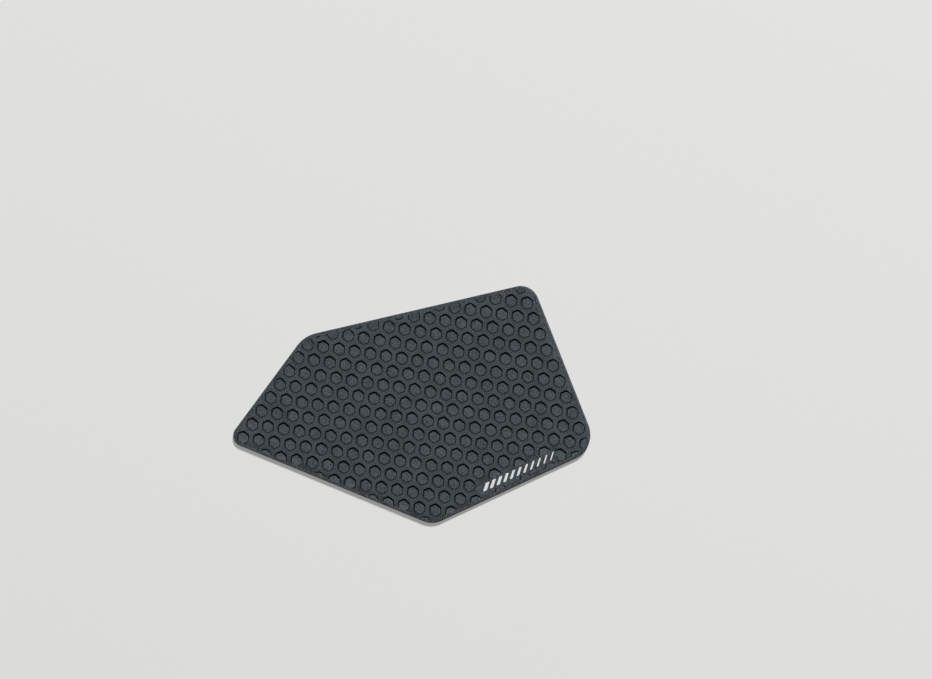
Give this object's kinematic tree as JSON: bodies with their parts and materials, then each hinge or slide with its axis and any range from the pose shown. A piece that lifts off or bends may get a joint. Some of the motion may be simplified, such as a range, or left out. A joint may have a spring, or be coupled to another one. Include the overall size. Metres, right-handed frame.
{
  "type": "motorcycle tank pad",
  "caption": "Thin moulded rubber knee pad for the side of a motorcycle fuel tank, with a honeycomb of hexagonal grip pockets and a flat stick-on back.",
  "frame": {"origin": "centre of the pad's bounding box, on its flat back face", "axes": "+X along the pad's length towards the front of the motorcycle, +Y up the side of the tank, +Z out of the grip face"},
  "size_m": [0.2368, 0.1482, 0.0019],
  "materials": {
    "pad_rubber": "matt slate grey, fine grain"
  },
  "bodies": {
    "root": {"tank_pad": "pad_rubber"}
  },
  "joints": []
}
